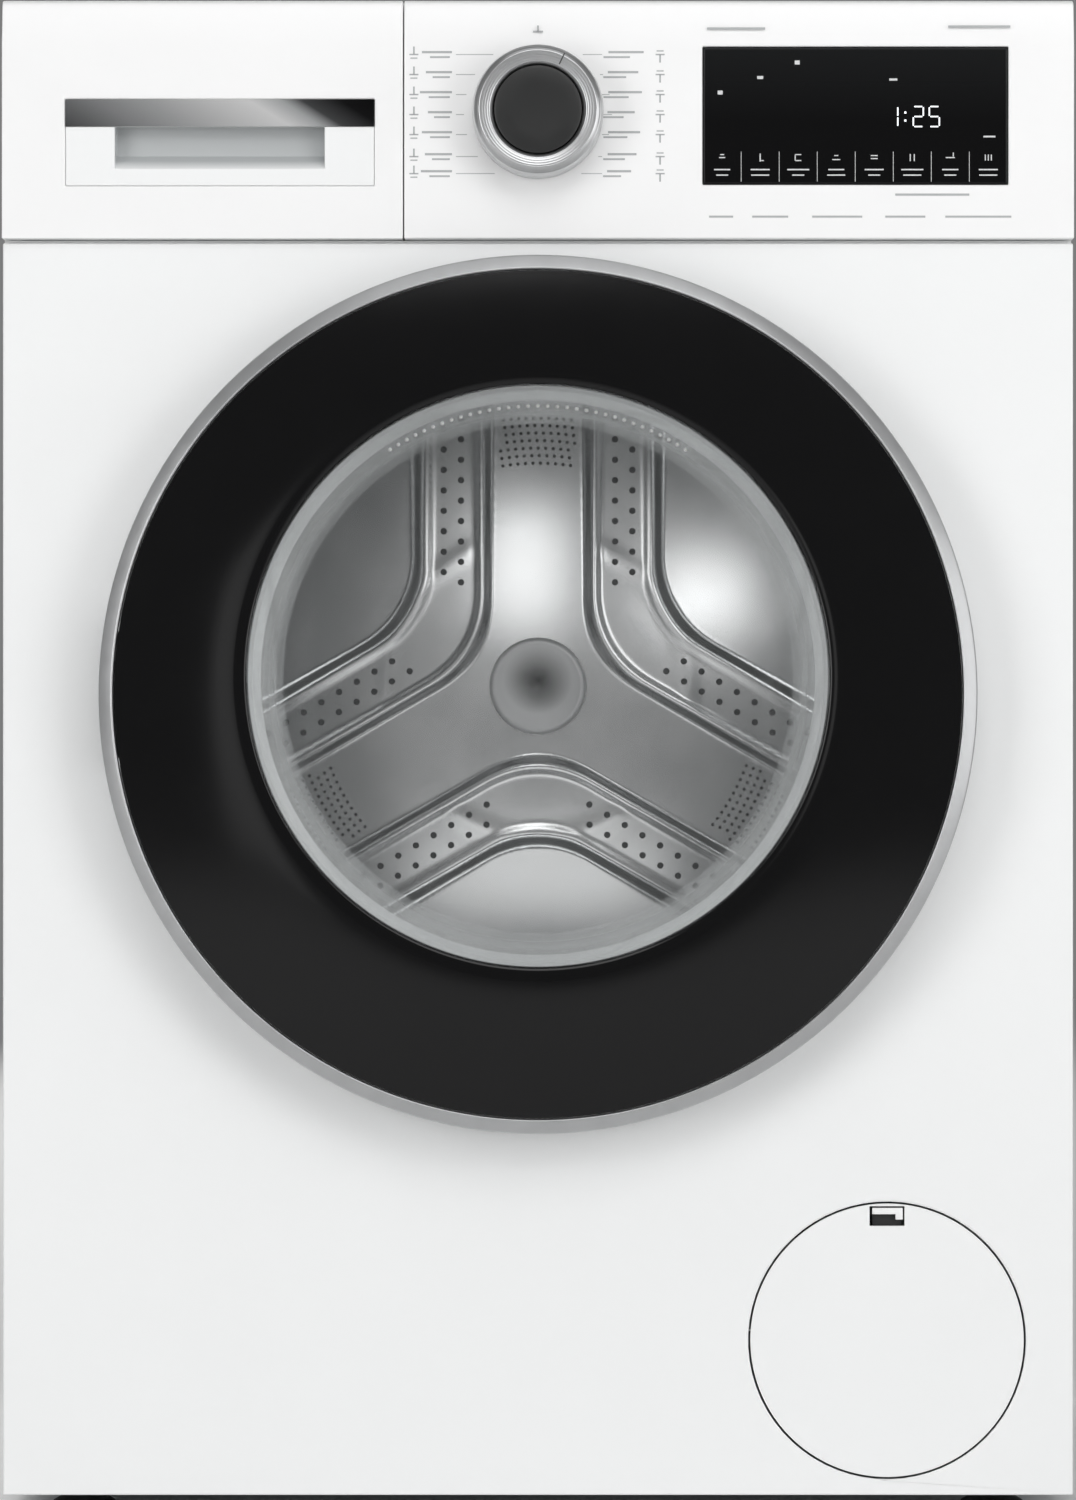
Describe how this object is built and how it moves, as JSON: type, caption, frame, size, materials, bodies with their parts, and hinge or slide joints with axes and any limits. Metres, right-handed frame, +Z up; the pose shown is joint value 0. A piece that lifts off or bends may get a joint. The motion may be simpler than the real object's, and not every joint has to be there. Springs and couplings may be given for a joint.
{
  "type": "front load washing machine",
  "caption": "White front loading washing machine with a round porthole door, detergent drawer, selector knob and dark display, complete with tub, drum and drive.",
  "frame": {"origin": "on the floor, in the middle of the width and midway between the door's face and the worktop's rear edge", "axes": "+X to the right seen from the front, +Y from the door to the rear, +Z up"},
  "size_m": [0.598, 0.636, 0.848],
  "materials": {
    "white_enamel": "smooth baked enamel on sheet steel",
    "white_melamine": "satin white melamine on board",
    "galvanised": "bare zinc-coated sheet",
    "white_moulding": "smooth moulded",
    "pale_moulding": "satin moulded",
    "bright_strip": "polished plating",
    "silver_ring": "metallic silver paint",
    "black_gloss": "polished black",
    "bowl_glass": "clear pressed glass",
    "grey_rubber": "matt moulded rubber",
    "black_rubber": "matt moulded rubber",
    "stainless": "bright rolled stainless steel",
    "cast_alloy": "as cast",
    "turned_alloy": "brushed round its axis",
    "grey_weight": "grey coated casting",
    "tub_moulding": "filled polymer, matt",
    "motor_steel": "dark painted steel",
    "spring_steel": "oiled wire",
    "green_board": "coated circuit board",
    "black_moulding": "moulded"
  },
  "bodies": {
    "cabinet": {"left_side_panel": "white_enamel", "right_side_panel": "white_enamel", "front_panel": "white_enamel", "rear_panel": "galvanised", "rear_cover": "galvanised", "cover_screws": "spring_steel", "top_plate": "white_melamine", "base_tray": "tub_moulding", "control_panel": "white_moulding", "display_glass": "black_gloss", "control_board": "green_board", "dispenser_housing": "tub_moulding", "inlet_valve": "pale_moulding", "door_gasket": "grey_rubber", "door_lock": "pale_moulding", "hinge_bracket": "cast_alloy", "drain_pump": "pale_moulding", "drain_hose": "black_rubber", "mains_gland": "black_moulding", "damper_cylinders": "tub_moulding", "suspension_springs": "spring_steel", "dispenser_hose": "black_rubber", "sump_hose": "black_rubber"},
    "foot_fl": {"foot_front_left": "black_moulding"},
    "foot_fr": {"foot_front_right": "black_moulding"},
    "foot_rl": {"foot_rear_left": "black_moulding"},
    "foot_rr": {"foot_rear_right": "black_moulding"},
    "tub": {"tub_front": "tub_moulding", "tub_rear": "tub_moulding", "tub_bolts": "spring_steel", "bearings": "spring_steel", "counterweights": "grey_weight", "heater": "stainless", "motor_housing": "motor_steel", "drive_belt": "black_rubber", "damper_rods": "spring_steel"},
    "rotor": {"motor_rotor": "spring_steel"},
    "drum": {"drum_shell": "stainless", "drum_back": "stainless", "lifters": "pale_moulding", "drum_spider": "cast_alloy", "hub_cap": "stainless", "drum_pulley": "cast_alloy"},
    "impeller": {"pump_impeller": "pale_moulding"},
    "filter": {"pump_filter": "pale_moulding"},
    "door": {"door_trim": "silver_ring", "door_cover": "black_gloss", "door_bowl": "bowl_glass", "door_frame": "pale_moulding", "hinge_arm": "cast_alloy"},
    "hook": {"door_hook": "pale_moulding"},
    "drawer": {"drawer_front": "white_moulding", "drawer_handle": "pale_moulding", "drawer_trim": "bright_strip", "drawer_tray": "pale_moulding", "softener_siphon": "pale_moulding"},
    "knob": {"knob_ring": "turned_alloy", "knob_cap": "black_moulding"},
    "flap": {"service_flap": "white_enamel"},
    "latch": {"flap_latch": "white_moulding"}
  },
  "joints": [
    {"name": "door_hinge", "type": "hinge", "parent": "cabinet", "child": "door", "pos_m": [-0.235, -0.294, 0.46], "axis": [0, 0, -1], "range_deg": [0, 165]},
    {"name": "hook_release", "type": "hinge", "parent": "door", "child": "hook", "pos_m": [0.214, -0.285, 0.48], "axis": [0, 0, 1], "range_deg": [0, 5], "stiffness_Nm_per_rad": 0.5, "springref_deg": -8.59},
    {"name": "tub_float", "type": "slide", "parent": "cabinet", "child": "tub", "axis": [0, 0, 1], "range_m": [-0.008, 0.008], "stiffness_N_per_m": 12000, "springref_m": 0.0317, "deforming": ["suspension_springs", "dispenser_hose", "sump_hose", "door_gasket"]},
    {"name": "drum_spin", "type": "hinge", "parent": "tub", "child": "drum", "pos_m": [0, 0.1, 0.47], "axis": [0, 1, 0], "continuous": true},
    {"name": "motor_spin", "type": "hinge", "parent": "tub", "child": "rotor", "pos_m": [0, 0.16, 0.105], "axis": [0, 1, 0], "continuous": true},
    {"name": "drawer_slide", "type": "slide", "parent": "cabinet", "child": "drawer", "axis": [0, -1, 0], "range_m": [0, 0.23]},
    {"name": "knob_turn", "type": "hinge", "parent": "cabinet", "child": "knob", "pos_m": [0, -0.29, 0.784], "axis": [0, 1, 0], "continuous": true},
    {"name": "flap_hinge", "type": "hinge", "parent": "cabinet", "child": "flap", "pos_m": [0.195, -0.2715, 0.0315], "axis": [1, 0, 0], "range_deg": [0, 80]},
    {"name": "latch_press", "type": "slide", "parent": "flap", "child": "latch", "axis": [0, 0, -1], "range_m": [0, 0.0028], "stiffness_N_per_m": 700, "springref_m": -0.002},
    {"name": "filter_turn", "type": "hinge", "parent": "cabinet", "child": "filter", "pos_m": [0.195, -0.24, 0.085], "axis": [0, 1, 0], "range_deg": [0, 90]},
    {"name": "impeller_spin", "type": "hinge", "parent": "cabinet", "child": "impeller", "pos_m": [0.195, -0.12, 0.085], "axis": [0, 1, 0], "continuous": true},
    {"name": "foot_fl_screw", "type": "slide", "parent": "cabinet", "child": "foot_fl", "axis": [0, 0, -1], "range_m": [0, 0.015]},
    {"name": "foot_fr_screw", "type": "slide", "parent": "cabinet", "child": "foot_fr", "axis": [0, 0, -1], "range_m": [0, 0.015]},
    {"name": "foot_rl_screw", "type": "slide", "parent": "cabinet", "child": "foot_rl", "axis": [0, 0, -1], "range_m": [0, 0.015]},
    {"name": "foot_rr_screw", "type": "slide", "parent": "cabinet", "child": "foot_rr", "axis": [0, 0, -1], "range_m": [0, 0.015]}
  ],
  "couplings": [
    {"joint": "motor_spin", "follows": "drum_spin", "ratio": 12.727}
  ]
}
